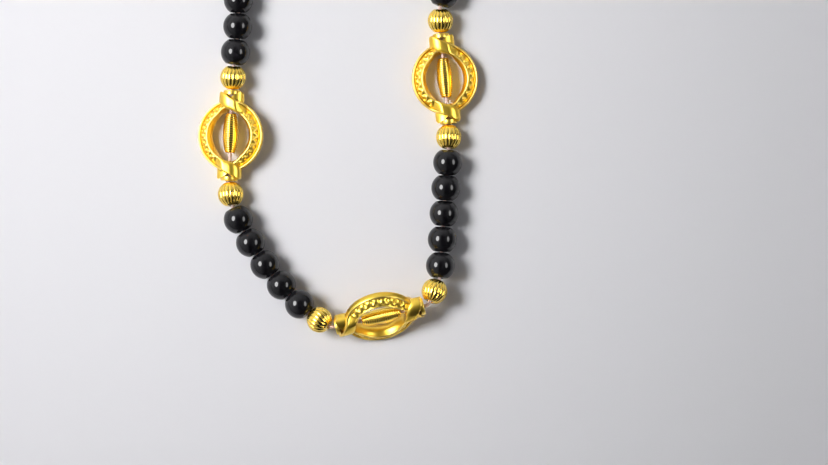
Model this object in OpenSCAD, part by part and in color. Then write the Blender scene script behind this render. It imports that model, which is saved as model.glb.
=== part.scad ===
// Bead necklace, one closed loop lying flat.
// Twisted open frames with a ridged bead inside, fluted beads at their necks, runs of black beads between.
// X is right and Y is up across the loop as it lies, Z is up from the surface.

/* [Black beads] */
// Width of a black bead
black_d = 6; // [5.9:0.1:6.2]
// Length of a black bead along the thread
black_len = 5.15; // [5.1:0.05:5.3]
// Hole through a black bead
black_hole = 1.2; // [1.1:0.1:1.6]

/* [Fluted beads] */
// Width of a fluted bead over its flutes
fluted_d = 5.3; // [5:0.1:5.4]
// Length of a fluted bead along the thread
fluted_len = 4.7; // [4.5:0.05:4.7]
// Depth of the grooves between flutes
flute_depth = 0.22; // [0.15:0.01:0.3]
// Number of flutes round a fluted bead
flutes = 16; // [12:1:17]
// Width of the groove between two flutes
groove_w = 0.34; // [0.2:0.02:0.36]
// Hole through a fluted bead
fluted_hole = 1.3; // [1.2:0.1:1.5]

/* [Spindle beads] */
// Width of a spindle bead at its middle
spindle_d = 3.3; // [3:0.1:3.4]
// Length of a spindle bead
spindle_len = 8.1; // [7.6:0.1:8.2]
// Number of ridges round a spindle bead
ridges = 17; // [13:1:19]
// Depth of the grooves between ridges
ridge_depth = 0.2; // [0.12:0.02:0.24]
// Hole through a spindle bead
spindle_hole = 1.1; // [1:0.1:1.2]

/* [Frames] */
// Length of a frame along the thread
frame_len = 18.7; // [18.5:0.1:18.8]
// Distance from a frame's middle out to its rim
ring_r = 6.85; // [6.75:0.05:6.9]
// Width of the opening between the front inner edges
opening_w = 9; // [8.9:0.1:9.2]
// Thickness of the ring from front to back, at the inner borders
ring_h = 3.3; // [3.1:0.1:3.4]
// Thickness over the crossed ends at the necks
neck_h = 4.3; // [4.2:0.05:4.3]
// Raised waves along each band
waves = 8; // [6:1:9]
// Height of the raised waves
wave_h = 0.24; // [0.15:0.01:0.28]
// Hole through the necks
neck_hole = 1.6; // [1.5:0.1:1.8]

/* [Clasp and thread] */
// Length of the barrel clasp
clasp_len = 11.6; // [11.4:0.1:11.8]
// Width of the barrel clasp
clasp_d = 5; // [4.6:0.1:5.6]
// Thickness of the stringing thread
thread_d = 0.7; // [0.5:0.05:0.8]

/* [Hidden] */
$fn = 48;
gold = [0.86, 0.68, 0.22];
black = [0.07, 0.07, 0.08];
clear = [0.85, 0.78, 0.76];

// Kinds of piece, with their lengths in the same order
BLACK = 0;
FLUTED = 1;
FRAME = 2;
lengths = [black_len, fluted_len, frame_len];

// Gap between neighbours on a straight stretch, and how much it opens with each radian of bend
seat_gap = 0.12;
bend_room = 1.47;

// Height of the thread line: in the black beads, at a fluted bead's neck end, in a frame that lies
// flat, and from the raised middle frame down over its neighbours
black_z = black_d / 2;
fluted_z = fluted_d - black_z;
flat_z = neck_h / 2 + 0.01;
middle_tilt = 48;
middle_clear = 0.26;
middle_z = ring_r * sin(middle_tilt) + middle_clear;
steps_down = [middle_z, 4.2, 3.3, black_z];

// Headings of the pieces on each side, in degrees from the right, going up from the middle frame.
// Columns: lower fluted bead, first and last of five black beads, upper fluted bead, frame,
// and last how far that frame is turned about the thread
left_turns = [
    [149, 137, 115, 98, 88, 9],
    [86, 83, 98, 101, 103, -4],
    [103, 102, 93, 89, 85, 3],
];
right_turns = [
    [66, 86, 86, 89, 95, 1],
    [92, 74, 67, 67, 67, 4],
    [69, 72, 89, 94, 101, -3],
];
// Beyond the last frame: fluted bead, first and last of the end run of black beads
left_end = [79, 71, 19];
right_end = [109, 118, 178];
middle_turn = 13;
middle_at = [2.23, -93.95];
run_beads = 5;
end_beads = 7;
// How far each spindle bead has slid along the thread from its frame's middle, in the same order as frames
spindle_slides = [0.3, -0.35, -0.5, 0.3, 0.25, -0.3, 0.4];
// How far each frame is turned about the thread, in order from the clasp's left
frame_turns = concat(
    [for (g = [2:-1:0]) left_turns[g][5]],
    [middle_tilt],
    [for (row = right_turns) row[5]]
);

// A frame turned about the thread rests a little higher, on the edge of its crossed ends
turn_lift = 0.0036;
function lying_z(turn) = flat_z + turn_lift * turn * turn;

function black_row(count, first, last, drop) = [
    for (j = [0:count - 1])
        [BLACK, first + (last - first) * j / (count - 1), drop && j < 2 ? steps_down[j + 1] : black_z,
            drop && j < 1 ? steps_down[j + 2] : black_z]
];

// One side's pieces from the middle frame up: kind, heading, height at its start and at its end
function group_rows(turns, g) =
    let (
        row = turns[g],
        below = g == 0 ? middle_z : max(fluted_z, lying_z(turns[g - 1][5])),
        above = lying_z(row[5])
    )
    concat(
        [[FLUTED, row[0], below, g == 0 ? steps_down[1] : black_z]],
        black_row(run_beads, row[1], row[2], g == 0),
        [[FLUTED, row[3], black_z, max(fluted_z, above)], [FRAME, row[4], above, above]]
    );
function side_rows(turns, last) = concat(
    [for (g = [0:len(turns) - 1]) each group_rows(turns, g)],
    [[FLUTED, last[0], max(fluted_z, lying_z(turns[len(turns) - 1][5])), black_z]],
    black_row(end_beads, last[1], last[2], false)
);

function heading_of(way) = atan2(way.y, way.x);
function along(turn, rise) = [cos(turn) * cos(rise), sin(turn) * cos(rise), sin(rise)];

// Lays the pieces end to end, each as kind, start and end of its hole
function laid(rows, tip, way, i = 0) =
    i == len(rows) ? [] :
    let (
        row = rows[i],
        size = lengths[row[0]],
        ahead = along(row[1], asin((row[3] - row[2]) / size)),
        bend = acos(min(1, way * ahead)) * PI / 180,
        mid_way = along(heading_of(way + ahead), 0),
        next = tip + (seat_gap + bend_room * bend) * mid_way,
        from = [next.x, next.y, row[2]],
        to = from + size * ahead
    )
    concat([[row[0], from, to]], laid(rows, to, ahead, i + 1));

middle_ahead = along(middle_turn, 0);
middle_from = [middle_at.x, middle_at.y, middle_z] - middle_ahead * frame_len / 2;
middle_to = middle_from + middle_ahead * frame_len;
left_side = laid(side_rows(left_turns, left_end), middle_from, -middle_ahead);
right_side = laid(side_rows(right_turns, right_end), middle_to, middle_ahead);
per_side = len(left_side);

// The whole string in order, from the clasp's left end round to its right end
string = concat(
    [for (i = [1:per_side]) let (p = left_side[per_side - i]) [p[0], p[2], p[1]]],
    [[FRAME, middle_from, middle_to]],
    right_side
);
blacks = [for (p = string) if (p[0] == BLACK) p];
fluteds = [for (p = string) if (p[0] == FLUTED) p];
frames = [for (p = string) if (p[0] == FRAME) p];
runs = [
    [0, end_beads],
    for (k = [0:5]) [end_beads + k * run_beads, run_beads],
    [end_beads + 6 * run_beads, end_beads],
];

// The clasp fills the gap between the two ends of the string
string_start = string[0][1];
string_end = string[len(string) - 1][2];
clasp_mid = (string_start + string_end) / 2;
clasp_way = (string_end - string_start) / norm(string_end - string_start);
clasp_from = clasp_mid - clasp_way * clasp_len / 2;
clasp_to = clasp_mid + clasp_way * clasp_len / 2;

// The thread's line: straight through each piece, and across each gap from one hole to the next
thread_sides = 8;
thread_in = 1.2;
thread_line = concat(
    [clasp_from + clasp_way * thread_in, clasp_from],
    [for (p = string) each [p[1], p[2]]],
    [clasp_to, clasp_to - clasp_way * thread_in]
);

// A band's middle line in the frame's own plane: an arc down the left side, then straight across
// the thread at each neck
arc_off = 0.7;
arc_end = 63;
half_in = (ring_r - opening_w / 2) * 0.55;
band_r = opening_w / 2 + half_in + arc_off;
arc_len = band_r * arc_end * PI / 180;
rim_u = ring_r + arc_off - band_r;

function ease(t) = let (c = max(0, min(1, t))) c * c * (3 - 2 * c);
function arc_at(d) = min(arc_end, abs(d) / band_r * 180 / PI);
function out_at(d) = [-cos(arc_at(d)), -sign(d) * sin(arc_at(d))];
function way_at(d) = [sin(arc_at(d)), -sign(d) * cos(arc_at(d))];
function mid_at(d) =
    [arc_off, 0] + band_r * out_at(d) + max(0, abs(d) - arc_len) * way_at(d);

// A point u out from the middle line. On a crossed end the rows slant so that they run along the thread
slant = 1 / tan(arc_end);
function plan_at(d, u, part) = mid_at(d + sign(d) * slant * u * part) + u * out_at(d);

// The ring's section: distances out from the middle line, and heights of the front face there
groove_u = rim_u * 0.42;
rim_top_u = rim_u * 0.62;
rim_side_u = rim_u * 0.92;
border_u = -half_in + 0.38;
border_h = ring_h / 2;
edge_h = border_h - 0.14;
groove_h = 0.62;
rim_h = 0.74;
rim_side_h = 0.46;
wave_swing = 0.36;
wave_mid = (border_u + groove_u) / 2;
wall_bulge = 0.65;
relief_end = arc_len * 0.9;
function slope_h(u) = border_h + (groove_h - border_h) * (u - border_u) / (groove_u - border_u);

// A crossed end is a plain leaf: its outer half width, the shape of its top across, and how it bends
// down round the neck's side
leaf_out = rim_u * 0.85;
leaf_us = [-half_in, -half_in * 0.75, 0, leaf_out * 0.6, leaf_out * 0.86, leaf_out];
leaf_drops = [0.3, 0.08, 0, 0.04, 0.12, 0.36];
neck_side = 2.6;
function crest(x) = neck_h / 2 * sqrt(max(0.02, 1 - pow(max(0, x) / neck_side, 2)));

// How far the ring has turned into a leaf, where its leaf lies over the other one and where it lies under.
// The part that passes under keeps its relief until it is covered, and draws in its inner edge
under_share = 0.8;
under_end = arc_len + 1.1;
tuck = 0.5;
function over_part(d) = ease((abs(d) - relief_end + 0.4) / 2.6);
function under_part(d) = ease((abs(d) - under_end) / 1.2);
function tuck_at(d) = tuck * ease((abs(d) - arc_len + 1.6) / 2.4);
function bulge_at(d) = wall_bulge * (1 - 0.8 * ease((abs(d) - 2) / 7));

half_n = 6;

// Half of a station's section, from the inner edge out, for the side that faces up or down.
// over tells whether this face is the outer one at this end, in_w and out_w scale the leaf's two sides
function half_section(d, wave, in_w, out_w, over, side) =
    let (
        part = over ? over_part(d) : under_part(d),
        drawn = over ? 0 : tuck_at(d),
        swing = over && abs(d) > relief_end - 0.1 ? 0 : wave * wave_swing * (1 - 0.8 * drawn),
        wave_u = wave_mid + swing,
        wave_top = slope_h(wave_u) + wave_h,
        ring_us = [-half_in + drawn, border_u + drawn, wave_u + drawn / 2, groove_u, rim_top_u, rim_side_u],
        ring_hs = [edge_h, border_h, wave_top, groove_h, rim_h, rim_side_h]
    )
    [
        for (i = [0:half_n - 1])
            let (
                u = ring_us[i] * (1 - part) + leaf_us[i] * part * (i < 2 ? in_w : out_w),
                p = plan_at(d, u, part),
                leaf = over ? crest(p.x) - leaf_drops[i] * crest(p.x) / crest(0) : under_share * crest(p.x)
            )
            [p.x, p.y, side * (ring_hs[i] * (1 - part) + leaf * part)]
    ];

// The whole section: the middle of the inner wall, front half, rim and back half
function station(d, wave, in_w, out_w) =
    let (
        part = over_part(d),
        mean_part = (part + under_part(d)) / 2,
        front = half_section(d, wave, in_w, out_w, d > 0, 1),
        back = half_section(d, wave, in_w, out_w, d < 0, -1),
        edge_u = rim_u * (1 - part) + leaf_out * 1.04 * part * out_w,
        wall_u = -half_in * in_w - bulge_at(d) + tuck_at(d) / 2 * (1 - under_part(d)),
        edge = plan_at(d, edge_u, mean_part),
        wall = plan_at(d, wall_u, mean_part)
    )
    concat(
        [[wall.x, wall.y, (front[0].z + back[0].z) / 2]],
        front,
        [[edge.x, edge.y, (front[half_n - 1].z + back[half_n - 1].z) / 2]],
        [for (i = [half_n - 1:-1:0]) back[i]]
    );

// Stations along a band: distance, wave position, and the widths of the leaf's inner and outer sides
relief_step = relief_end / waves;
last_wave = waves + 2;
// Stations of a crossed end: distance past the end of the arc, and the two widths
end_rows = [
    [1.8, 1, 1],
    [2.8, 1.13, 1],
    [3.7, 1.27, 1],
    [4.4, 1.22, 1],
    [4.9, 1.1, 1],
    [5.2, 0.97, 0.66],
    [5.39, 0.85, 0.25],
];
last_row = len(end_rows) - 1;
band_rows = concat(
    [for (i = [last_row:-1:0]) [-arc_len - end_rows[i][0], 0, end_rows[i][1], end_rows[i][2]]],
    [for (i = [-last_wave:last_wave]) [i * relief_step, i % 2 == 0 ? 1 : -1, 1, 1]],
    [for (row = end_rows) [arc_len + row[0], 0, row[1], row[2]]]
);

// A closed skin through equal sections, with a flat cap at each end
module skin(sections) {
    n = len(sections[0]);
    last = len(sections) - 1;
    points = [for (s = sections) each s];
    sides = [
        for (i = [0:last - 1])
            for (j = [0:n - 1])
                let (k = (j + 1) % n)
                each [
                    [i * n + j, (i + 1) * n + j, (i + 1) * n + k],
                    [i * n + j, (i + 1) * n + k, i * n + k],
                ]
    ];
    first_cap = [[for (j = [0:n - 1]) j]];
    last_cap = [[last * n, for (j = [n - 1:-1:1]) last * n + j]];
    polyhedron(points, concat(sides, first_cap, last_cap), convexity = 6);
}

module band() {
    skin([for (row = band_rows) station(row[0], row[1], row[2], row[3])]);
}

// The round neck inside the crossed ends, and the V hollow between their tips on each face
neck_r = 1.75;
neck_from = 6.9;
bore_from = 4;
hollow_from = 7.75;
hollow_to = 8.5;
hollow_half = 1;
hollow_floor = 0.35;

// One frame in its own plane: the thread runs along Y, the front is +Z
module frame_shape() {
    difference() {
        union() {
            band();
            rotate([0, 0, 180])
                band();
            for (s = [0, 180])
                rotate([0, 0, s])
                    translate([0, neck_from, 0])
                        rotate([-90, 0, 0])
                            cylinder(r = neck_r, h = frame_len / 2 - neck_from);
        }
        for (s = [0, 180])
            rotate([0, 0, s])
                translate([0, bore_from, 0])
                    rotate([-90, 0, 0])
                        cylinder(d = neck_hole, h = frame_len / 2);
        for (s = [0, 180])
            for (f = [0, 180])
                rotate([0, f, s])
                    translate([0, 0, hollow_floor])
                        linear_extrude(height = neck_h / 2)
                            polygon([
                                [0, hollow_from],
                                [hollow_half, hollow_to],
                                [-hollow_half, hollow_to],
                            ]);
    }
}

module on_line(from, to) {
    way = to - from;
    translate((from + to) / 2)
        rotate([0, acos(way.z / norm(way)), heading_of(way)])
            children();
}

module twist_frame(i) {
    p = frames[i - 1];
    color(gold)
        on_line(p[1], p[2])
            rotate([90, 0, -90 + frame_turns[i - 1]])
                frame_shape();
}

// How far a groove between flutes runs from the bead's middle toward its ends, in degrees, and how far
// its cutter stands out
groove_reach = 58;
groove_out = 0.6;

// Outline of a spindle bead from its middle to one end, with a groove between each two ridges
end_share = 0.36;
past_end = 0.25;
ridge_from = 0.32;
ridge_to = 0.68;
function spindle_r(t) = spindle_d / 2 * (end_share + (1 - end_share) * sqrt(max(0, 1 - t * t)));

module spindle_bead(i) {
    p = frames[i - 1];
    pitch = spindle_len / ridges;
    outline = [
        for (k = [0:ridges - 1])
            let (
                low = -spindle_len / 2 + k * pitch,
                r = spindle_r((low + pitch / 2) / (spindle_len / 2 + past_end))
            )
            each [
                [r - ridge_depth, low],
                [r, low + pitch * ridge_from],
                [r, low + pitch * ridge_to],
            ]
    ];
    color(gold)
        on_line(p[1], p[2])
            translate([0, 0, spindle_slides[i - 1]])
                rotate_extrude()
                    polygon(concat(
                        [[spindle_hole / 2, -spindle_len / 2]],
                        outline,
                        [[outline[0].x, spindle_len / 2], [spindle_hole / 2, spindle_len / 2]]
                    ));
}

module fluted_bead(i) {
    p = fluteds[i - 1];
    color(gold)
        on_line(p[1], p[2])
            difference() {
                difference() {
                    intersection() {
                        sphere(d = fluted_d);
                        cylinder(d = fluted_d + 1, h = fluted_len, center = true);
                    }
                    cylinder(d = fluted_hole, h = fluted_len + 1, center = true);
                }
                for (k = [0:flutes - 1])
                    rotate([90, 0, k * 360 / flutes])
                        rotate([0, 0, -groove_reach])
                            rotate_extrude(angle = 2 * groove_reach)
                                translate([fluted_d / 2 - flute_depth, -groove_w / 2])
                                    square([groove_out, groove_w]);
            }
}

module black_beads(run) {
    color(black)
        for (j = [0:runs[run - 1][1] - 1])
            let (p = blacks[runs[run - 1][0] + j])
            on_line(p[1], p[2])
                difference() {
                    intersection() {
                        sphere(d = black_d);
                        cylinder(d = black_d + 1, h = black_len, center = true);
                    }
                    cylinder(d = black_hole, h = black_len + 1, center = true);
                }
}

// The clasp's outline: its end caps, their shoulders, the barrel and the raised collar round its middle
cap_share = 0.56;
shoulder_in = 0.35;
shoulder_at = 1.4;
barrel_in = 0.1;
barrel_at = 2.2;
collar = 0.5;
clasp_hole_deep = 1.6;

module clasp() {
    half = clasp_len / 2;
    side = clasp_d / 2;
    color(gold)
        on_line(clasp_from, clasp_to)
            difference() {
                rotate_extrude()
                    polygon([
                        [0, -half],
                        [side * cap_share, -half],
                        [side - shoulder_in, -half + shoulder_at],
                        [side - barrel_in, -half + barrel_at],
                        [side - barrel_in, -collar],
                        [side, -collar],
                        [side, collar],
                        [side - barrel_in, collar],
                        [side - barrel_in, half - barrel_at],
                        [side - shoulder_in, half - shoulder_at],
                        [side * cap_share, half],
                        [0, half],
                    ]);
                for (s = [-1, 1])
                    translate([0, 0, s * half])
                        cylinder(d = black_hole, h = 2 * clasp_hole_deep, center = true);
            }
}

module thread() {
    last = len(thread_line) - 1;
    rings = [
        for (i = [0:last])
            let (
                way = thread_line[min(last, i + 1)] - thread_line[max(0, i - 1)],
                side = [-sin(heading_of(way)), cos(heading_of(way)), 0],
                over = cross(way / norm(way), side)
            )
            [
                for (j = [0:thread_sides - 1])
                    let (a = -j * 360 / thread_sides)
                    thread_line[i] + thread_d / 2 * (cos(a) * side + sin(a) * over)
            ]
    ];
    color(clear)
        skin(rings);
}

twist_frame(1);  // twist_frame_1
twist_frame(2);  // twist_frame_2
twist_frame(3);  // twist_frame_3
twist_frame(4);  // twist_frame_4
twist_frame(5);  // twist_frame_5
twist_frame(6);  // twist_frame_6
twist_frame(7);  // twist_frame_7
spindle_bead(1);  // spindle_bead_1
spindle_bead(2);  // spindle_bead_2
spindle_bead(3);  // spindle_bead_3
spindle_bead(4);  // spindle_bead_4
spindle_bead(5);  // spindle_bead_5
spindle_bead(6);  // spindle_bead_6
spindle_bead(7);  // spindle_bead_7
fluted_bead(1);  // fluted_bead_1
fluted_bead(2);  // fluted_bead_2
fluted_bead(3);  // fluted_bead_3
fluted_bead(4);  // fluted_bead_4
fluted_bead(5);  // fluted_bead_5
fluted_bead(6);  // fluted_bead_6
fluted_bead(7);  // fluted_bead_7
fluted_bead(8);  // fluted_bead_8
fluted_bead(9);  // fluted_bead_9
fluted_bead(10);  // fluted_bead_10
fluted_bead(11);  // fluted_bead_11
fluted_bead(12);  // fluted_bead_12
fluted_bead(13);  // fluted_bead_13
fluted_bead(14);  // fluted_bead_14
black_beads(1);  // black_beads_1
black_beads(2);  // black_beads_2
black_beads(3);  // black_beads_3
black_beads(4);  // black_beads_4
black_beads(5);  // black_beads_5
black_beads(6);  // black_beads_6
black_beads(7);  // black_beads_7
black_beads(8);  // black_beads_8
clasp();
thread();
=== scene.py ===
import math

import bpy
import numpy as np
from mathutils import Matrix, Vector


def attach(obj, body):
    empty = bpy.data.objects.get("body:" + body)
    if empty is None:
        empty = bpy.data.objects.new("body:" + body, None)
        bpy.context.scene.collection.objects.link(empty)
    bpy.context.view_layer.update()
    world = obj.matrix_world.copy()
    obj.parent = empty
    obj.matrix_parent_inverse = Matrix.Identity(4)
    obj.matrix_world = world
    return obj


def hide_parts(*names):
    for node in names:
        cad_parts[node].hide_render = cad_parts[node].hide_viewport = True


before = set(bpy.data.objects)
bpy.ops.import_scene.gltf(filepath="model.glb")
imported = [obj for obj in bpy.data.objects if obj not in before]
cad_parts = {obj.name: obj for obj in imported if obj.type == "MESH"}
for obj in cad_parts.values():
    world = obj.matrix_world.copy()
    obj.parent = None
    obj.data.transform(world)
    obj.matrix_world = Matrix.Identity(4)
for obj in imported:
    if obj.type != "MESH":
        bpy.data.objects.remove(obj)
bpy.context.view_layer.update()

# Lengths are in millimetres until a mesh is made
MM = 0.001

# Beads and frames, as they are cut in the solids
BLACK_D, BLACK_LEN, BLACK_HOLE = 6.0, 5.15, 1.2
FLUTED_D, FLUTED_LEN, FLUTED_HOLE, FLUTES = 5.3, 4.7, 1.3, 16
SPINDLE_D, SPINDLE_LEN, SPINDLE_HOLE, RIDGES, TIP_SHARE = 3.3, 8.1, 1.1, 17, 0.36
FRAME_LEN, RING_R, OPENING_W, NECK_H = 18.7, 6.85, 9.0, 4.3
WAVES, NECK_HOLE = 8, 1.6
CLASP_LEN, CLASP_D, CLASP_HOLE = 11.6, 5.0, 1.6
THREAD_D, THREAD_IN = 0.7, 1.2

# What the soft shapes add to them: how deep the ridges and flutes are, how far a black bead's ends swell
RIDGE_DEEP, FLUTE_DEEP, BLACK_DOME = 0.16, 0.25, 0.03

# The string's layout: headings in degrees from the right, going up each side from the middle frame
SEAT_GAP, BEND_ROOM = 0.12, 1.47
BLACK_Z, FLUTED_Z, FLAT_Z, TURN_LIFT = BLACK_D / 2, FLUTED_D - BLACK_D / 2, NECK_H / 2 + 0.01, 0.0036
SPINDLE_SLIDES = [0.3, -0.35, -0.5, 0.3, 0.25, -0.3, 0.4]
MIDDLE_TILT, MIDDLE_TURN, MIDDLE_AT = 48, 13, (2.23, -93.95)
MIDDLE_Z = RING_R * math.sin(math.radians(MIDDLE_TILT)) + 0.26
STEPS_DOWN = [MIDDLE_Z, 4.2, 3.3, BLACK_Z]
LEFT_TURNS = [[149, 137, 115, 98, 88, 9], [86, 83, 98, 101, 103, -4], [103, 102, 93, 89, 85, 3]]
RIGHT_TURNS = [[66, 86, 86, 89, 95, 1], [92, 74, 67, 67, 67, 4], [69, 72, 89, 94, 101, -3]]
LEFT_END, RIGHT_END = [79, 71, 19], [109, 118, 178]
RUN_BEADS, END_BEADS = 5, 7
LENGTHS = {"black": BLACK_LEN, "fluted": FLUTED_LEN, "frame": FRAME_LEN}


def lying_z(turn):
    return FLAT_Z + TURN_LIFT * turn * turn


def black_row(count, first, last, drop):
    rows = []
    for j in range(count):
        start = STEPS_DOWN[j + 1] if drop and j < 2 else BLACK_Z
        end = STEPS_DOWN[j + 2] if drop and j < 1 else BLACK_Z
        rows.append(("black", first + (last - first) * j / (count - 1), start, end))
    return rows


def side_rows(turns, last):
    rows = []
    for g, row in enumerate(turns):
        below = MIDDLE_Z if g == 0 else max(FLUTED_Z, lying_z(turns[g - 1][5]))
        above = lying_z(row[5])
        rows.append(("fluted", row[0], below, STEPS_DOWN[1] if g == 0 else BLACK_Z))
        rows += black_row(RUN_BEADS, row[1], row[2], g == 0)
        rows += [("fluted", row[3], BLACK_Z, max(FLUTED_Z, above)), ("frame", row[4], above, above)]
    rows.append(("fluted", last[0], max(FLUTED_Z, lying_z(turns[-1][5])), BLACK_Z))
    return rows + black_row(END_BEADS, last[1], last[2], False)


def along(turn, rise):
    t, r = math.radians(turn), math.radians(rise)
    return np.array([math.cos(t) * math.cos(r), math.sin(t) * math.cos(r), math.sin(r)])


def heading(way):
    return math.degrees(math.atan2(way[1], way[0]))


def laid(rows, tip, way):
    out = []
    for kind, turn, start, end in rows:
        size = LENGTHS[kind]
        ahead = along(turn, math.degrees(math.asin((end - start) / size)))
        bend = math.acos(min(1, way @ ahead))
        begin = tip + (SEAT_GAP + BEND_ROOM * bend) * along(heading(way + ahead), 0)
        begin[2] = start
        tip, way = begin + size * ahead, ahead
        out.append((kind, begin, tip))
    return out


middle_ahead = along(MIDDLE_TURN, 0)
middle_from = np.array([*MIDDLE_AT, MIDDLE_Z]) - middle_ahead * FRAME_LEN / 2
middle_to = middle_from + middle_ahead * FRAME_LEN
left_side = laid(side_rows(LEFT_TURNS, LEFT_END), middle_from, -middle_ahead)
right_side = laid(side_rows(RIGHT_TURNS, RIGHT_END), middle_to, middle_ahead)
string = [(k, b, a) for k, a, b in reversed(left_side)]
string += [("frame", middle_from, middle_to)] + right_side
frame_turns = [row[5] for row in reversed(LEFT_TURNS)] + [MIDDLE_TILT] + [row[5] for row in RIGHT_TURNS]
blacks, fluteds, frames = ([p[1:] for p in string if p[0] == k] for k in ("black", "fluted", "frame"))
clasp_mid = (string[0][1] + string[-1][2]) / 2
clasp_way = string[-1][2] - string[0][1]
clasp_way /= np.linalg.norm(clasp_way)


def turned(axis, degrees):
    a = math.radians(degrees)
    c, s = math.cos(a), math.sin(a)
    i, j = [k for k in range(3) if k != "xyz".index(axis)]
    m = np.eye(3)
    sign = -1 if axis == "y" else 1
    m[i, i], m[i, j], m[j, i], m[j, j] = c, -s * sign, s * sign, c
    return m


def on_line(start, end):
    """The turn and the middle of a piece whose own Z runs from start to end."""
    way = (end - start) / np.linalg.norm(end - start)
    return turned("z", heading(way)) @ turned("y", math.degrees(math.acos(way[2]))), (start + end) / 2


# Mesh helpers


def grid_faces(rows, cols):
    """Faces of a grid of rows by cols points, closed round its columns."""
    i = np.arange(rows - 1)[:, None] * cols
    j = np.arange(cols)[None, :]
    k = (j + 1) % cols
    return np.stack([i + j, i + k, i + cols + k, i + cols + j], -1).reshape(-1, 4)


def new_object(name, points, faces, smooth=True):
    mesh = bpy.data.meshes.new(name)
    mesh.from_pydata([tuple(p) for p in points], [], [tuple(f) for f in faces])
    mesh.validate()
    if smooth:
        mesh.shade_smooth()
    piece = bpy.data.objects.new(name, mesh)
    bpy.context.scene.collection.objects.link(piece)
    return piece


def read(items, name, width=1, kind=float):
    """One number, or a row of numbers, for each of a mesh's points, edges, corners or faces."""
    values = np.empty(len(items) * width, kind)
    items.foreach_get(name, values)
    return values.reshape(-1, width) if width > 1 else values


def mark_hollows(mesh, reach, gain):
    """Stores how hollow the surface is at each point, 0.5 where it is even, as the attribute hollow."""
    co, normals = read(mesh.vertices, "co", 3), read(mesh.vertices, "normal", 3)
    a, b = read(mesh.edges, "vertices", 2, np.int64).T
    lift = co[b] - co[a]
    span = np.maximum((lift ** 2).sum(1), 1e-12)
    n = len(co)
    bow, count = np.zeros(n), np.zeros(n)
    np.add.at(bow, a, (lift * normals[a]).sum(1) / span)
    np.add.at(bow, b, (-lift * normals[b]).sum(1) / span)
    np.add.at(count, a, 1)
    np.add.at(count, b, 1)
    value = bow / np.maximum(count, 1) * reach * MM
    for _ in range(3):
        total = np.zeros(n)
        np.add.at(total, a, value[b])
        np.add.at(total, b, value[a])
        value = 0.5 * value + 0.5 * total / np.maximum(count, 1)
    value = np.clip(0.5 + gain * value, 0, 1)
    layer = mesh.attributes.new("hollow", "FLOAT", "POINT")
    layer.data.foreach_set("value", value.astype(np.float32))


def lathe(outline, around):
    """Points and faces of a closed outline of (radius, height) turned about Z."""
    a = np.linspace(0, 2 * np.pi, around, endpoint=False)
    outline = np.array(outline)
    ring = np.stack([
        outline[:, 0][None, :] * np.cos(a)[:, None],
        outline[:, 0][None, :] * np.sin(a)[:, None],
        np.broadcast_to(outline[:, 1][None, :], (around, len(outline))),
    ], -1)
    cols = len(outline)
    i = np.arange(around)[:, None]
    j = np.arange(cols)[None, :]
    ii, jj = (i + 1) % around, (j + 1) % cols
    faces = np.stack([i * cols + j, ii * cols + j, ii * cols + jj, i * cols + jj], -1).reshape(-1, 4)
    return ring.reshape(-1, 3), faces


def solid_lathe(outline, around):
    """A closed solid turned about Z, from an outline that climbs and that starts and ends on the axis."""
    a = np.linspace(0, 2 * np.pi, around, endpoint=False)
    pts = [[[0, 0, outline[0][1]]]]
    pts += [np.column_stack([r * np.cos(a), r * np.sin(a), z + 0 * a]) for r, z in outline[1:-1]]
    pts = np.vstack(pts + [[[0, 0, outline[-1][1]]]])
    faces = [tuple(f + 1) for f in grid_faces(len(outline) - 2, around)]
    last = len(pts) - 1 - around
    for j in range(around):
        k = (j + 1) % around
        faces += [(0, 1 + k, 1 + j), (last + j, last + k, len(pts) - 1)]
    return pts, faces


def cut(target, tool, operation):
    """Joins or cuts two closed meshes."""
    mod = target.modifiers.new("cut", "BOOLEAN")
    mod.operation = operation
    mod.solver = "MANIFOLD"
    mod.object = tool
    done = bpy.data.meshes.new_from_object(target.evaluated_get(bpy.context.evaluated_depsgraph_get()))
    target.modifiers.clear()
    old, target.data = target.data, done
    bpy.data.meshes.remove(old)
    bpy.data.objects.remove(tool)


# The twisted frame's own sizes: a band's middle line, the ring's section, the crossed ends
ARC_OFF, ARC_END = 0.7, 63
HALF_IN = (RING_R - OPENING_W / 2) * 0.55
BAND_R = OPENING_W / 2 + HALF_IN + ARC_OFF
ARC_LEN = BAND_R * math.radians(ARC_END)
RIM_U = RING_R + ARC_OFF - BAND_R
GROOVE_U, BORDER_U = RIM_U * 0.42, -HALF_IN + 0.38
WAVE_SWING, WAVE_MID = 0.27, (BORDER_U + GROOVE_U) / 2
RELIEF_END, WALL_BULGE = ARC_LEN * 0.9, 0.65
WAVE_LEN = 2 * RELIEF_END / WAVES
WAVE_H, PIT_DEEP = 0.22, 0.24
SLANT = 1 / math.tan(math.radians(ARC_END))
LEAF_OUT, NECK_SIDE = RIM_U * 0.85, 2.6
UNDER_SHARE, UNDER_END, TUCK = 0.8, ARC_LEN + 1.1, 0.5
NECK_R, NECK_FROM = 1.75, 6.9
HOLLOW_FROM, HOLLOW_TO, HOLLOW_HALF, HOLLOW_FLOOR = 7.75, 8.5, 1.0, 0.35
BORE_FROM, BORE_PAST = 4.0, 2.0
JOIN_SHARP, ALWAYS_SHARP = 18, 70
FIRST_BAND, SECOND_BAND, NECK, CUT = PARTS = range(4)

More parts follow.
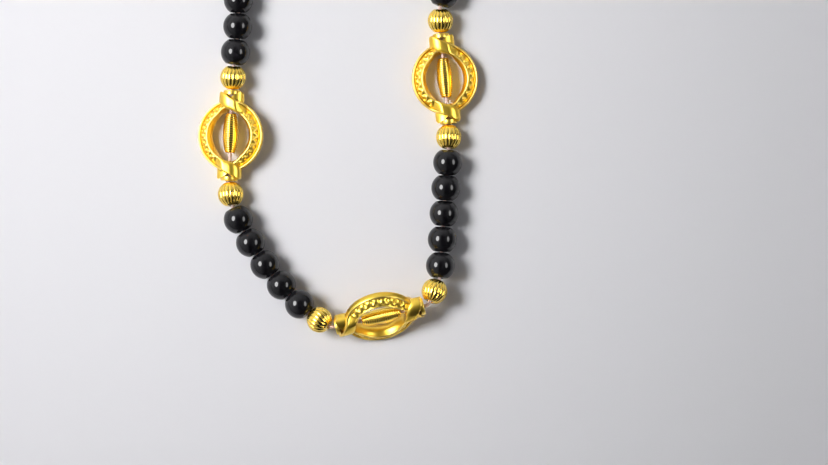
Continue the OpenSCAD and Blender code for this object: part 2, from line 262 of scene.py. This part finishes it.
# The front half of the ring's section without its waves: distance out from the middle line, height
RING_LINE = np.array([
    [-HALF_IN - 0.02, 1.30], [-HALF_IN + 0.02, 1.50], [-HALF_IN + 0.12, 1.61], [-HALF_IN + 0.25, 1.65],
    [-HALF_IN + 0.36, 1.60], [-HALF_IN + 0.44, 1.46], [-HALF_IN + 0.52, 1.36],
    [-0.62, 1.26], [-0.46, 1.15], [-0.30, 1.03], [-0.14, 0.91], [0.02, 0.79], [0.18, 0.68], [0.32, 0.56],
    [0.42, 0.42], [0.48, 0.37], [0.53, 0.46], [0.60, 0.64], [0.70, 0.74], [0.82, 0.75], [0.93, 0.66],
    [1.00, 0.50], [1.04, 0.31], [RIM_U, 0.12],
])
# A crossed end: distance past the end of the arc, widths of the leaf's inner and outer sides there
LEAF_ROWS = np.array([
    [1.8, 1.0, 1.0], [2.8, 1.13, 1.0], [3.7, 1.27, 1.0], [4.4, 1.22, 1.0], [4.9, 1.1, 1.0],
    [5.2, 0.97, 0.66], [5.39, 0.85, 0.25],
])
END_STEPS = np.array([
    1.25, 1.5, 1.8, 2.1, 2.45, 2.8, 3.1, 3.4, 3.7, 4.0, 4.25, 4.5, 4.7, 4.88, 5.03, 5.15, 5.25, 5.33, 5.39,
])


def eased(t):
    c = np.clip(t, 0, 1)
    return c * c * (3 - 2 * c)


def finer(line, times):
    """A smooth curve through the points of a line, with this many steps between each two."""
    p = np.vstack([2 * line[0] - line[1], line, 2 * line[-1] - line[-2]])
    t = np.linspace(0, 1, times, endpoint=False)[:, None]
    out = []
    for a, b, c, d in zip(p[:-3], p[1:-2], p[2:-1], p[3:]):
        out.append(0.5 * (2 * b + (c - a) * t + (2 * a - 5 * b + 4 * c - d) * t * t
                          + (3 * b - a - 3 * c + d) * t ** 3))
    return np.vstack(out + [line[-1:]])


ring_line = finer(RING_LINE, 2)[:-1]
ring_u, ring_h = ring_line[:, 0], ring_line[:, 1]
leaf_u = np.interp(
    ring_u, [-HALF_IN, BORDER_U, WAVE_MID, GROOVE_U, 0.62 * RIM_U, 0.92 * RIM_U, RIM_U],
    [-HALF_IN, -HALF_IN * 0.75, 0, LEAF_OUT * 0.6, LEAF_OUT * 0.86, LEAF_OUT, LEAF_OUT * 1.03])
leaf_drop = np.where(leaf_u < 0, 0.3 * np.abs(leaf_u / HALF_IN) ** 4,
                     0.36 * (np.abs(leaf_u) / LEAF_OUT) ** 6.5)
relief_window = eased((ring_u + 0.88) / 0.12) * eased((0.44 - ring_u) / 0.12)
drawn_share = np.clip((GROOVE_U - ring_u) / (GROOVE_U - BORDER_U), 0, 1)


def arc_parts(d):
    """The way out from a band's middle line and the line's own points, at distances d along it."""
    a = np.minimum(math.radians(ARC_END), np.abs(d) / BAND_R)
    s = np.where(d < 0, -1.0, 1.0)
    out = np.stack([-np.cos(a), -s * np.sin(a)], -1)
    way = np.stack([np.sin(a), -s * np.cos(a)], -1)
    return out, np.array([ARC_OFF, 0]) + BAND_R * out + np.maximum(0, np.abs(d) - ARC_LEN)[..., None] * way


def plan_point(d, u, part):
    """A point u out from the middle line at distance d, slanted with the thread on the crossed ends."""
    _, mid = arc_parts(d + np.where(d < 0, -1.0, 1.0) * SLANT * u * part)
    out, _ = arc_parts(d + 0 * u)
    return mid + u[..., None] * out


def crest(x):
    """Height of a crossed end's top, rounded over from the thread to the side."""
    return NECK_H / 2 * np.sqrt(np.maximum(0.02, 1 - (np.maximum(0, x) / NECK_SIDE) ** 2))


def relief(d, u, fade):
    """A raised running wave, soft and full, with a pit in each bend: deep by the groove, shallow inside."""
    phase = 2 * math.pi * d / WAVE_LEN
    line = WAVE_MID + WAVE_SWING * np.cos(phase)
    slope = WAVE_SWING * 2 * math.pi / WAVE_LEN * np.sin(phase)
    off = (u - line) / np.sqrt(1 + slope ** 2)
    ridge = WAVE_H * np.exp(-(np.abs(off) / 0.3) ** 2)
    near = (d / WAVE_LEN + 0.5) % 1 - 0.5
    far = (d / WAVE_LEN) % 1 - 0.5
    low = np.exp(-((near * WAVE_LEN / 0.2) ** 2 + ((u - WAVE_MID + 0.30) / 0.16) ** 2))
    high = np.exp(-((far * WAVE_LEN / 0.2) ** 2 + ((u - WAVE_MID - 0.24) / 0.2) ** 2))
    return fade * (ridge - PIT_DEEP * high - 0.4 * PIT_DEEP * low)


def over_share(d):
    """How far the side that crosses on top has turned from ring to leaf, from 0 to 1."""
    return float(eased((abs(d) - RELIEF_END + 0.4) / 2.6))


def under_share(d):
    """The same for the side that passes below."""
    return float(eased((abs(d) - UNDER_END) / 1.2))


def half_section(d, in_w, out_w, over, side):
    """The front or back half of a band's section; the side below is drawn in under the other band."""
    if over:
        part, drawn = over_share(d), 0.0
        fade = float(eased((RELIEF_END + 0.1 - abs(d)) / 0.5))
    else:
        part, drawn = under_share(d), TUCK * float(eased((abs(d) - ARC_LEN + 1.6) / 2.4))
        fade = 1.0
    u = (ring_u + drawn * drawn_share) * (1 - part) + leaf_u * part * np.where(leaf_u < 0, in_w, out_w)
    p = plan_point(d, u, part)
    h = ring_h + relief_window * relief(d, ring_u, fade)
    top = crest(p[:, 0])
    leaf = top - leaf_drop * top / crest(0) if over else UNDER_SHARE * top
    return np.column_stack([p, side * (h * (1 - part) + leaf * part)])


def station(d, in_w, out_w):
    """One section of a band: the bulging inner wall, the front half, the outer side and the back half."""
    part = over_share(d)
    mean_part = (part + under_share(d)) / 2
    front = half_section(d, in_w, out_w, d > 0, 1)
    back = half_section(d, in_w, out_w, d < 0, -1)
    edge_u = RIM_U * (1 - part) + LEAF_OUT * 1.04 * part * out_w
    edge = np.array([*plan_point(d, np.array([edge_u]), mean_part)[0], (front[-1, 2] + back[-1, 2]) / 2])
    inward = np.array([*-arc_parts(np.array(d))[0], 0])
    wall = []
    for t in (-0.9, -0.6, -0.2, 0.2, 0.6, 0.9):
        bulge = WALL_BULGE * (1 - 0.8 * float(eased((abs(d) - 2) / 7))) * (1 - abs(t) ** 1.7)
        wall.append(back[0] + (front[0] - back[0]) * (t + 1) / 2 + bulge * inward)
    down = [front[-1] + (edge - front[-1]) * t for t in (0.15, 0.6)]
    up = [edge + (back[-1] - edge) * t for t in (0.4, 0.85)]
    return np.vstack([wall, front, down, [edge], up, back[::-1]])


def band(name, mark):
    """One band of the frame, from tip to tip, closed at both."""
    steps = 12 * (WAVES // 2)
    past = int((UNDER_END - RELIEF_END) / RELIEF_END * steps)
    ds = np.arange(-steps - past, steps + past + 1) * RELIEF_END / steps
    leaf = [(e, *(np.interp(e, LEAF_ROWS[:, 0], LEAF_ROWS[:, k]) for k in (1, 2))) for e in END_STEPS]
    rows = [station(-ARC_LEN - e, in_w, out_w) for e, in_w, out_w in reversed(leaf)]
    rows += [station(d, 1.0, 1.0) for d in ds]
    rows += [station(ARC_LEN + e, in_w, out_w) for e, in_w, out_w in leaf]
    n = len(rows[0])
    faces = [tuple(f) for f in grid_faces(len(rows), n)]
    faces.append(tuple(range(n))[::-1])
    faces.append(tuple((len(rows) - 1) * n + j for j in range(n)))
    return marked(new_object(name, np.vstack(rows), faces), mark)


def marked(piece, mark):
    """Numbers a part of the casting, so that its joins can be found later."""
    for _ in PARTS:
        piece.data.materials.append(None)
    piece.data.polygons.foreach_set("material_index", [mark] * len(piece.data.polygons))
    return piece


def wedge(end, side):
    """The V hollow between the tips of the crossed ends, as a closed prism."""
    flat = [[0, HOLLOW_FROM], [HOLLOW_HALF, HOLLOW_TO], [-HOLLOW_HALF, HOLLOW_TO]]
    pts = [[end * x, end * y, side * z] for z in (HOLLOW_FLOOR, NECK_H) for x, y in flat]
    faces = [(0, 2, 1), (3, 4, 5), (0, 1, 4, 3), (1, 2, 5, 4), (2, 0, 3, 5)]
    piece = new_object("hollow", pts, faces if side > 0 else [f[::-1] for f in faces], smooth=False)
    return marked(piece, CUT)


def turned_end(name, outline, around, end, mark):
    """A closed solid turned about the thread, at one end of the frame (1 or -1)."""
    pts, faces = solid_lathe(outline, around)
    pts = pts[:, [0, 2, 1]] * [1, end, 1]
    return marked(new_object(name, pts, faces if end < 0 else [f[::-1] for f in faces]), mark)


def frame_casting():
    """One frame in its own plane: the thread along Y, the front toward +Z."""
    body, other = band("band_a", FIRST_BAND), band("band_b", SECOND_BAND)
    other.data.vertices.foreach_set("co", (read(other.data.vertices, "co", 3) * [-1, -1, 1]).ravel())
    cut(body, other, "UNION")
    half, hole, past = FRAME_LEN / 2, NECK_HOLE / 2, FRAME_LEN / 2 + BORE_PAST
    neck = [[0, NECK_FROM], [NECK_R, NECK_FROM], [NECK_R, half - 0.16], [NECK_R - 0.05, half - 0.05],
            [NECK_R - 0.16, half], [0, half]]
    bore = [[0, BORE_FROM], [hole, BORE_FROM], [hole, past], [0, past]]
    for end in (1, -1):
        cut(body, turned_end("neck", neck, 72, end, NECK), "UNION")
    for end in (1, -1):
        for side in (1, -1):
            cut(body, wedge(end, side), "DIFFERENCE")
    for end in (1, -1):
        cut(body, turned_end("bore", bore, 36, end, CUT), "DIFFERENCE")
    return body


# Materials


class Wire:
    """An output that is worked with as a number: 1 - mask adds a Math node."""

    def __init__(self, finish, socket):
        self.finish, self.socket = finish, socket

    def math(self, operation, *others, swap=False):
        parts = [self, *others]
        if swap:
            parts.reverse()
        return self.finish.node("ShaderNodeMath", {"operation": operation}, dict(enumerate(parts)))

    def __add__(self, other):
        return self.math("ADD", other)

    __radd__ = __add__

    def __sub__(self, other):
        return self.math("SUBTRACT", other)

    def __rsub__(self, other):
        return self.math("SUBTRACT", other, swap=True)

    def __mul__(self, other):
        return self.math("MULTIPLY", other)

    __rmul__ = __mul__

    def __pow__(self, other):
        return self.math("POWER", other)

    def clamped(self):
        wire = self.math("ADD", 0.0)
        wire.socket.node.use_clamp = True
        return wire


class Finish:
    """A material or a world in the making: node() adds any node, and shade() sets the surface."""

    def __init__(self, owner, shader="Principled BSDF"):
        owner.use_nodes = True
        self.owner, self.tree = owner, owner.node_tree
        self.shader = self.tree.nodes[shader]

    def put(self, socket, value):
        if isinstance(value, Wire):
            self.tree.links.new(value.socket, socket)
        else:
            socket.default_value = value

    def node(self, kind, settings=None, values=None, out=0):
        made = self.tree.nodes.new(kind)
        for name, value in (settings or {}).items():
            setattr(made, name, value)
        for name, value in (values or {}).items():
            self.put(made.inputs[name], value)
        return Wire(self, made.outputs[out])

    def mixed(self, share, first, second):
        made = self.tree.nodes.new("ShaderNodeMix")
        made.data_type = "RGBA"
        for name, value in (("Factor_Float", share), ("A_Color", first), ("B_Color", second)):
            self.put(next(s for s in made.inputs if s.identifier == name), value)
        return Wire(self, next(s for s in made.outputs if s.identifier == "Result_Color"))

    def noise(self, scale, detail=3.0, rough=0.5):
        """Grain of this many bumps a metre."""
        return self.node("ShaderNodeTexNoise", {}, {
            "Vector": self.node("ShaderNodeTexCoord", out=3), "Scale": scale, "Detail": detail,
            "Roughness": rough})

    def ranged(self, value, low, high):
        """Runs from 0 to 1 as the value goes from low to high."""
        return self.node("ShaderNodeMapRange", {"clamp": True}, {
            "Value": value, "From Min": low, "From Max": high})

    def shade(self, **values):
        for name, value in values.items():
            self.put(self.shader.inputs[name.replace("_", " ")], value)

    def bumped(self, height, strength, depth):
        return self.node("ShaderNodeBump", {}, {"Height": height, "Strength": strength, "Distance": depth})


def rgb(r, g, b):
    return (r, g, b, 1.0)


def gold_finish(name, rough, sheen):
    """Yellow gold plate: paler on its rises, partly as wear and partly as painted sheen; darker and duller in
    its hollows, partly as patina and partly as painted shade.
    """
    f = Finish(bpy.data.materials.new(name))
    hollow = f.node("ShaderNodeAttribute", {"attribute_name": "hollow"}, out=2)
    # Darker and duller in the hollows: partly patina, partly painted shade where the pits and grooves lie in
    # shadow
    deep = f.ranged(hollow, 0.55, 0.95)
    # Paler on the rises: partly wear, partly a painted sheen standing in for the light's highlights
    wear_and_sheen = f.ranged(hollow, 0.45, 0.15)
    cloud = f.ranged(f.noise(300.0, 3.0, 0.5), 0.3, 0.7)
    grain = f.noise(5200.0, 3.0, 0.65)
    base = f.mixed(cloud, rgb(1.0, 0.65, 0.055), rgb(1.0, 0.69, 0.085))
    # Pale tone on the rises (wear and painted sheen), then a dull dark tone in the hollows (patina and
    # painted shade)
    bright = f.mixed(wear_and_sheen * 0.55, base, rgb(1.0, 0.86, 0.36))
    toned = f.mixed(deep * 0.85, bright, rgb(0.30, 0.19, 0.02))
    f.shade(Base_Color=toned, Metallic=1.0, Roughness=rough + 0.08 * grain + 0.1 * deep,
            Normal=f.bumped(grain, 0.06, 0.00004))
    f.shade(Coat_Weight=sheen, Coat_Roughness=0.3)
    return f.owner


def black_finish():
    """Polished black glass, faintly uneven, with a little dust."""
    f = Finish(bpy.data.materials.new("polished_black_glass"))
    cloud = f.noise(260.0, 3.0, 0.5)
    wave = f.noise(700.0, 1.0, 0.4)
    dust = f.noise(9000.0, 2.0, 0.7)
    f.shade(Base_Color=f.mixed(cloud, rgb(0.002, 0.002, 0.003), rgb(0.012, 0.011, 0.013)),
            Roughness=0.05 + 0.10 * f.ranged(dust, 0.55, 0.8),
            Normal=f.bumped(wave, 0.25, 0.00006))
    f.shade(IOR=1.5, Specular_IOR_Level=0.42)
    return f.owner


def thread_finish():
    f = Finish(bpy.data.materials.new("clear_stringing_thread"))
    streak = f.noise(2500.0, 2.0, 0.5)
    f.shade(Base_Color=f.mixed(streak, rgb(0.66, 0.42, 0.36), rgb(0.82, 0.62, 0.56)),
            Roughness=0.25 + 0.2 * streak, Normal=f.bumped(streak, 0.2, 0.00003))
    return f.owner


GOLD = gold_finish("satin_gold_plate", rough=0.28, sheen=0.4)
BRIGHT_GOLD = gold_finish("bright_gold_plate", rough=0.10, sheen=0.3)
BLACK, THREAD = black_finish(), thread_finish()


# The pieces


def finish_piece(piece, node, material, reach=0.1, gain=1.0):
    """Finishes the piece that stands for a node; reach and gain say how strongly its hollows and rises show,
    in the gold as patina with painted shade and as wear with painted sheen.
    """
    mark_hollows(piece.data, reach, gain)
    piece.data.materials.clear()
    piece.data.materials.append(material)
    piece.data.polygons.foreach_set("material_index", [0] * len(piece.data.polygons))
    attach(piece, "root")
    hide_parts(node)


def placed(points, turn, middle):
    """A piece's own points, in millimetres, put in their place on the string, in metres."""
    return (np.asarray(points) @ turn.T + middle) * MM


def mark_joins(mesh, least):
    """Marks as sharp the edges where two parts of a casting meet at more than the least angle."""
    index = read(mesh.polygons, "material_index", kind=np.int32)
    normals = read(mesh.polygons, "normal", 3)
    edge_of = read(mesh.loops, "edge_index", kind=np.int32)
    face_of = np.repeat(np.arange(len(index)), read(mesh.polygons, "loop_total", kind=np.int32))
    order = np.argsort(edge_of, kind="stable")
    edge_of, face_of = edge_of[order], face_of[order]
    same = edge_of[:-1] == edge_of[1:]
    a, b, edge = face_of[:-1][same], face_of[1:][same], edge_of[:-1][same]
    angle = np.degrees(np.arccos(np.clip((normals[a] * normals[b]).sum(1), -1, 1)))
    sharp = np.zeros(len(mesh.edges), bool)
    sharp[edge[((index[a] != index[b]) & (angle > least)) | (angle > ALWAYS_SHARP)]] = True
    mesh.attributes.new("sharp_edge", "BOOLEAN", "EDGE").data.foreach_set("value", sharp)


casting = frame_casting()
casting.data.shade_smooth()
mark_joins(casting.data, JOIN_SHARP)
shape = read(casting.data.vertices, "co", 3)
for i, (start, end) in enumerate(frames):
    turn, middle = on_line(start, end)
    turn = turn @ turned("z", -90 + frame_turns[i]) @ turned("x", 90)
    mesh = casting.data.copy()
    points = placed(shape, turn, middle)
    points[:, 2] = np.maximum(points[:, 2], 0)  # a rim lies flat where it meets the floor
    mesh.vertices.foreach_set("co", points.ravel())
    mesh.update()
    piece = bpy.data.objects.new(f"frame_casting_{i + 1}", mesh)
    bpy.context.scene.collection.objects.link(piece)
    finish_piece(piece, f"twist_frame_{i + 1}", GOLD, 0.16, 1.3)
bpy.data.objects.remove(casting)


def spindle_outline():
    """A slim barrel of round ridges, drawn in toward its ends."""
    pitch = SPINDLE_LEN / RIDGES
    out = [[SPINDLE_HOLE / 2, -SPINDLE_LEN / 2]]
    steps = np.linspace(0, 1, 8, endpoint=False)
    for k in range(RIDGES):
        for t in steps:
            z = -SPINDLE_LEN / 2 + (k + t) * pitch
            bow = math.sqrt(max(0, 1 - (z / (SPINDLE_LEN / 2 + 0.25)) ** 2))
            r = SPINDLE_D / 2 * (TIP_SHARE + (1 - TIP_SHARE) * bow)
            out.append([r - RIDGE_DEEP * (1 - math.sqrt(max(0, 1 - (2 * t - 1) ** 2)) ** 0.9), z])
    return out + [[out[1][0], SPINDLE_LEN / 2], [SPINDLE_HOLE / 2, SPINDLE_LEN / 2]]


for i, (start, end) in enumerate(frames):
    points, faces = lathe(spindle_outline(), 48)
    points[:, 2] += SPINDLE_SLIDES[i]
    piece = new_object(f"ridged_spindle_{i + 1}", placed(points, *on_line(start, end)), faces)
    finish_piece(piece, f"spindle_bead_{i + 1}", BRIGHT_GOLD, 0.1, 1.3)


def fluted_points():
    """Lobes from end to end with narrow grooves between, and a rounded lip at each hole."""
    a = np.linspace(0, 2 * np.pi, FLUTES * 10, endpoint=False)
    share = (a * FLUTES / (2 * np.pi)) % 1
    lobe = np.sqrt(np.maximum(0, 1 - (2 * share - 1) ** 2)) ** 0.8
    half, hole = FLUTED_LEN / 2, FLUTED_HOLE / 2
    zs = half * np.sin(np.linspace(-math.pi / 2, math.pi / 2, 34))
    rows = [(hole, -half + 0.3, 0.0), (hole, -half + 0.06, 0.0), (hole + 0.05, -half, 0.0)]
    for z in zs:
        r = math.sqrt((FLUTED_D / 2) ** 2 - z * z)
        rows.append((r, z, FLUTE_DEEP * float(eased((half - abs(z)) / 0.9)) ** 0.6))
    rows += [(hole + 0.05, half, 0.0), (hole, half - 0.06, 0.0), (hole, half - 0.3, 0.0)]
    pts = []
    for r, z, deep in rows:
        fluted_r = r - deep * (1 - lobe)
        pts.append(np.column_stack([fluted_r * np.cos(a), fluted_r * np.sin(a), z + 0 * a]))
    faces = grid_faces(len(rows) + 1, len(a)) % (len(rows) * len(a))  # the last row joins the first
    return np.vstack(pts), faces


ball, faces = fluted_points()
for i, (start, end) in enumerate(fluteds):
    piece = new_object(f"fluted_ball_{i + 1}", placed(ball, *on_line(start, end)), faces)
    finish_piece(piece, f"fluted_bead_{i + 1}", BRIGHT_GOLD, 0.2, 1.6)


def black_outline():
    """A ball with cut ends, each with a soft shoulder and a slightly domed lip round the hole."""
    half, hole, r = BLACK_LEN / 2 + BLACK_DOME, BLACK_HOLE / 2, BLACK_D / 2
    flat = math.sqrt(r * r - half * half)
    lip = [[hole, half - 0.25], [hole + 0.04, half - 0.09], [hole + 0.14, half - 0.02], [hole + 0.3, half],
           [flat - 0.35, half - 0.01], [flat - 0.16, half - 0.05]]
    heights = (half - 0.12) * np.cos(np.linspace(0, math.pi / 2, 16))
    top = lip + [[math.sqrt(r * r - z * z), z] for z in heights]
    return [[x, -z] for x, z in top] + top[-2::-1]


runs = [(0, END_BEADS)] + [(END_BEADS + k * RUN_BEADS, RUN_BEADS) for k in range(6)]
runs.append((END_BEADS + 6 * RUN_BEADS, END_BEADS))
bead, faces = lathe(black_outline(), 56)
for i, (first, count) in enumerate(runs):
    points = [placed(bead, *on_line(start, end)) for start, end in blacks[first:first + count]]
    all_faces = [faces + k * len(bead) for k in range(count)]
    piece = new_object(f"black_run_{i + 1}", np.vstack(points), np.vstack(all_faces))
    finish_piece(piece, f"black_beads_{i + 1}", BLACK, 0.1, 1.0)


def clasp_outline():
    half, mid, cap = CLASP_LEN / 2, CLASP_D / 2, CLASP_D * 0.28
    side = [[BLACK_HOLE / 2, half - CLASP_HOLE], [BLACK_HOLE / 2, half - 0.05], [BLACK_HOLE / 2 + 0.06, half],
            [cap - 0.1, half], [cap, half - 0.06], [mid - 0.9, half - 0.5], [mid - 0.48, half - 1.0],
            [mid - 0.26, half - 1.5], [mid - 0.14, half - 1.9], [mid - 0.1, half - 2.3]]
    grip = [[mid - 0.1 - 0.05 * (k % 2), half - 2.5 - 0.12 * k] for k in range(24)]
    collar = [[mid - 0.1, 0.56], [mid - 0.02, 0.5], [mid, 0.42], [mid, 0.06], [mid - 0.06, 0.0]]
    top = [[0, half - CLASP_HOLE]] + side + grip + collar
    return [[r, -z] for r, z in top] + top[-2::-1]


points, faces = solid_lathe(clasp_outline(), 56)
half_way = clasp_way * CLASP_LEN / 2
clasp_place = on_line(clasp_mid - half_way, clasp_mid + half_way)
clasp = new_object("barrel_clasp", placed(points, *clasp_place), faces)
finish_piece(clasp, "clasp", GOLD, 0.16, 1.3)


def thread_points():
    """A round thread, straight through each piece and bending smoothly across the gaps."""
    inside = clasp_way * THREAD_IN
    knots = [(clasp_mid - half_way + inside, -clasp_way), (clasp_mid - half_way, -clasp_way)]
    for _, start, end in string:
        way = (end - start) / np.linalg.norm(end - start)
        knots += [(start, way), (end, way)]
    knots += [(clasp_mid + half_way, -clasp_way), (clasp_mid + half_way - inside, -clasp_way)]
    line = []
    for (p, a), (q, b) in zip(knots[:-1], knots[1:]):
        reach = np.linalg.norm(q - p)
        for t in np.linspace(0, 1, 6 if reach < 3 else 2, endpoint=False):
            line.append((1 + 2 * t) * (1 - t) ** 2 * p + t * (1 - t) ** 2 * reach * a
                        + t * t * (3 - 2 * t) * q - t * t * (1 - t) * reach * b)
    line = np.array(line + [knots[-1][0]])
    step = np.diff(line, axis=0)
    step /= np.linalg.norm(step, axis=1)[:, None]
    way = np.vstack([step[:1], step[:-1] + step[1:], step[-1:]])
    side = np.column_stack([-way[:, 1], way[:, 0], 0 * way[:, 0]])
    side /= np.linalg.norm(side, axis=1)[:, None]
    over = np.cross(way / np.linalg.norm(way, axis=1)[:, None], side)
    a = np.linspace(0, 2 * np.pi, 16, endpoint=False)
    rings = line[:, None, :] + THREAD_D / 2 * (
        np.cos(a)[None, :, None] * side[:, None, :] + np.sin(a)[None, :, None] * over[:, None, :])
    rows, n = len(line), len(a)
    faces = [tuple(f) for f in grid_faces(rows, n)]
    faces += [tuple(range(n))[::-1], tuple((rows - 1) * n + j for j in range(n))]
    return rings.reshape(-1, 3), faces


points, faces = thread_points()
cord = new_object("stringing_thread", points * MM, faces)
finish_piece(cord, "thread", THREAD)

# Floor, light and camera

FLOOR_SIDE = 3.0
corners = np.array([[-1, -1, 0], [1, -1, 0], [1, 1, 0], [-1, 1, 0]]) * FLOOR_SIDE / 2
floor = new_object("floor", corners, [(0, 1, 2, 3)], smooth=False)
paint = Finish(bpy.data.materials.new("pale_floor"))
paint.shade(Base_Color=paint.mixed(paint.noise(6.0, 2.0), rgb(0.80, 0.79, 0.82), rgb(0.82, 0.81, 0.84)),
            Roughness=0.9, Specular_IOR_Level=0.0)
floor.data.materials.append(paint.owner)

# What the view looks straight down at, how wide it is there, and from how far
VIEW_AT = Vector((0.00927, -0.07677, 0.003))
VIEW_W, VIEW_FROM = 0.1706, 0.45
ROOM_SEEN, ROOM_EVEN, ROOM_BRIGHT, ROOM_DIM = 0.8, 0.15, 1.2, 0.03


def area_light(name, away, distance, size, power, spread=180.0, shift=(0, 0, 0), matt=True, glossy=True):
    """A soft oval light that faces the view's middle, or a point shifted from it."""
    data = bpy.data.lights.new(name, "AREA")
    data.shape, (data.size, data.size_y) = "ELLIPSE", size
    data.energy, data.spread = power, math.radians(spread)
    lamp = bpy.data.objects.new(name, data)
    bpy.context.scene.collection.objects.link(lamp)
    lamp.visible_diffuse, lamp.visible_glossy = matt, glossy
    out = Vector(away).normalized()
    right = Vector((0, 1, 0)).cross(out).normalized()
    lamp.matrix_world = Matrix((right, out.cross(right), out)).transposed().to_4x4()
    lamp.location = VIEW_AT + Vector(shift) + out * distance


# The window lights the floor from the left; the glints are the reflections of a window and of a lamp on
# the right, and the fill is that lamp's soft light
area_light("window", (-0.57, 0.16, 0.80), 0.55, (0.34, 0.40), 0.42, 38, (-0.088, 0.074, 0), glossy=False)
area_light("window_glint", (-0.62, 0.12, 0.80), 0.65, (0.30, 0.42), 4.8, matt=False)
area_light("lamp_glint", (0.74, 0.06, 0.66), 0.9, (0.32, 0.60), 2.6, matt=False)
area_light("fill", (0.76, 0.04, 0.64), 0.9, (0.30, 0.30), 0.3, glossy=False)

# The room: even for the floor. Reflections see it bright at the upper left and dim at the lower right,
# with a dark strip straight above that ends beyond the top of the view
room = Finish(bpy.data.worlds.new("studio"), "Background")
bpy.context.scene.world = room.owner
far = room.node("ShaderNodeTexCoord", out=0)
right, up = (room.node("ShaderNodeSeparateXYZ", {}, {"Vector": far}, out=k) for k in (0, 1))
side = (0.5 - 0.38 * right + 0.30 * up).clamped()
off_strip = right - 0.1
strip = room.ranged(off_strip * off_strip, 0.14, 0.04) * room.ranged(up, 0.75, 0.35)
mirrored = (ROOM_DIM + (ROOM_BRIGHT - ROOM_DIM) * side ** 1.5) * (1 - 0.98 * strip)
seen = room.node("ShaderNodeLightPath")
glossy = room.node("ShaderNodeLightPath", out=3)
level = ROOM_EVEN + (ROOM_SEEN - ROOM_EVEN) * seen + (mirrored - ROOM_EVEN) * glossy
room.shade(Color=rgb(0.93, 0.93, 0.95), Strength=level)

lens = bpy.data.cameras.new("camera")
lens.sensor_width = 36.0
lens.lens = 36.0 * VIEW_FROM / VIEW_W
lens.clip_start, lens.clip_end = 0.01, 10.0
camera = bpy.data.objects.new("camera", lens)
bpy.context.scene.collection.objects.link(camera)
camera.location = VIEW_AT + Vector((0, 0, VIEW_FROM))
bpy.context.scene.camera = camera
bpy.context.scene.view_settings.view_transform = "Standard"
